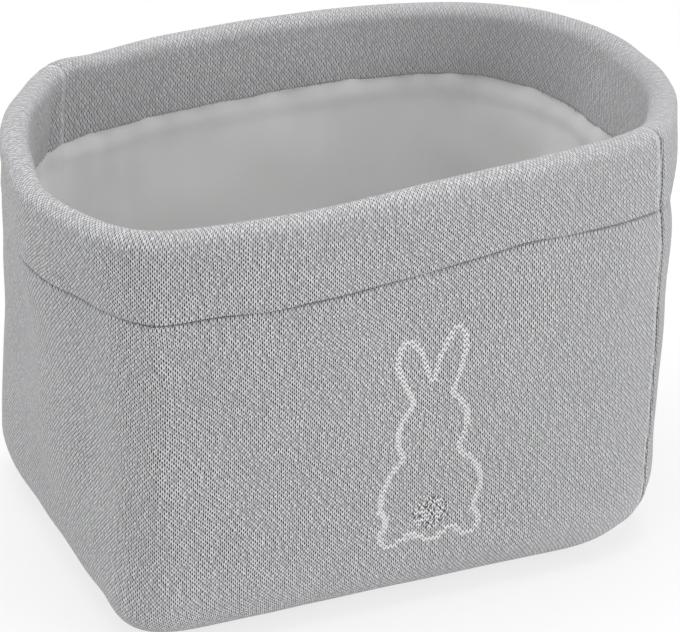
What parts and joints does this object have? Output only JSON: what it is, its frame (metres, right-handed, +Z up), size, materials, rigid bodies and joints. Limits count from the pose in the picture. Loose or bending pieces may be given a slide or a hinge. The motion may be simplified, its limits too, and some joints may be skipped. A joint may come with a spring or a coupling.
{
  "type": "nursery storage basket",
  "caption": "Soft rectangular basket with padded knit walls, a turned-down cuff round the rim, a plain lining and a board-stiffened base. Holds nappies and toiletries.",
  "frame": {"origin": "middle of the basket's bounding box, on the floor under the base", "axes": "+Z up, +X along the longer side towards the front right corner's end, the front with the motif faces -Y"},
  "size_m": [0.291, 0.2074, 0.1942],
  "materials": {
    "knit": "grey cotton knit with small dark stitch pits and pale strands",
    "lining": "plain pale woven lining, matte",
    "padding": "white polyester wadding",
    "board": "plain grey board",
    "motif_yarn": "white yarn of the motif",
    "motif_dark": "dark grey yarn in the motif's tail"
  },
  "bodies": {
    "root": {"outer_front_left": "knit", "facing_front_left": "knit", "padding_front_left": "padding", "lining_front_left": "lining", "outer_back_right": "knit", "facing_back_right": "knit", "padding_back_right": "padding", "lining_back_right": "lining", "outer_base": "knit", "base_board": "board", "base_padding": "padding", "lining_base": "lining"}
  },
  "joints": []
}
